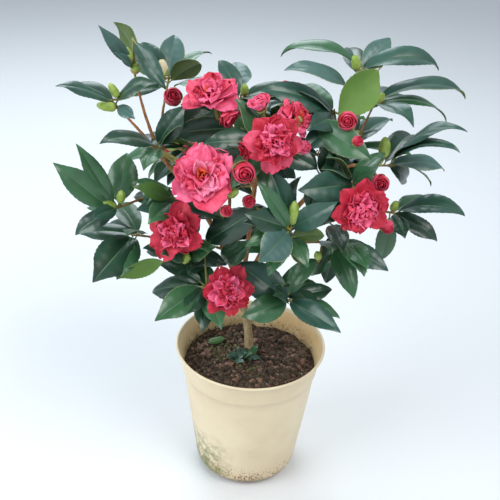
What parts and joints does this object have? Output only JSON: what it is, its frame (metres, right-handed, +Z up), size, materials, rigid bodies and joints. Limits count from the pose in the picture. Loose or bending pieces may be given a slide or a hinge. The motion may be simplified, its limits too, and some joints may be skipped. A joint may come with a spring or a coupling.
{
  "type": "potted camellia shrub",
  "caption": "Flowering evergreen camellia shrub with a short leaning trunk, open leafy crown and red double blooms, growing in a tapered plastic nursery pot.",
  "frame": {"origin": "centre of the pot's flat underside", "axes": "+Z up along the pot's axis; -Y is the front, the side that most of the blooms face; +X to the right seen from the front"},
  "size_m": [0.3998, 0.2876, 0.5275],
  "materials": {
    "pot_plastic": "cream moulded plastic, soft sheen, dirt-specked foot",
    "potting_soil": "dark damp crumbly potting mix",
    "trunk_bark": "smooth grey-tan bark",
    "bough_bark": "smooth orange-brown bark",
    "foliage": "leathery dark green leaves with a waxy gloss",
    "petals": "soft crimson and rose petals"
  },
  "bodies": {
    "root": {"bough_back_centre": "bough_bark", "bough_back_left": "bough_bark", "bough_back_low": "bough_bark", "bough_back_right": "bough_bark", "bough_back_top": "bough_bark", "bough_centre_front": "bough_bark", "bough_centre_high": "bough_bark", "bough_centre_mid": "bough_bark", "bough_centre_right": "bough_bark", "bough_centre_top": "bough_bark", "bough_front_left": "bough_bark", "bough_front_right": "bough_bark", "bough_left_bottom": "bough_bark", "bough_left_centre": "bough_bark", "bough_left_inner": "bough_bark", "bough_left_low": "bough_bark", "bough_left_mid": "bough_bark", "bough_left_upper": "bough_bark", "bough_right_bottom": "bough_bark", "bough_right_low": "bough_bark", "bough_right_mid": "bough_bark", "bough_right_upper": "bough_bark", "bough_top_left": "bough_bark", "bough_top_left_inner": "bough_bark", "bough_top_right": "bough_bark", "leader_back": "bough_bark", "leader_left": "bough_bark", "leader_right": "bough_bark", "leaves_back_centre": "foliage", "leaves_back_left": "foliage", "leaves_back_low": "foliage", "leaves_back_right": "foliage", "leaves_back_top": "foliage", "leaves_centre_front": "foliage", "leaves_centre_high": "foliage", "leaves_centre_mid": "foliage", "leaves_centre_right": "foliage", "leaves_centre_top": "foliage", "leaves_front_left": "foliage", "leaves_front_right": "foliage", "leaves_left_bottom": "foliage", "leaves_left_centre": "foliage", "leaves_left_inner": "foliage", "leaves_left_low": "foliage", "leaves_left_mid": "foliage", "leaves_left_upper": "foliage", "leaves_right_bottom": "foliage", "leaves_right_low": "foliage", "leaves_right_mid": "foliage", "leaves_right_upper": "foliage", "leaves_top_left": "foliage", "leaves_top_left_inner": "foliage", "leaves_top_right": "foliage", "pot": "pot_plastic", "soil": "potting_soil", "trunk": "trunk_bark"}
  },
  "joints": []
}
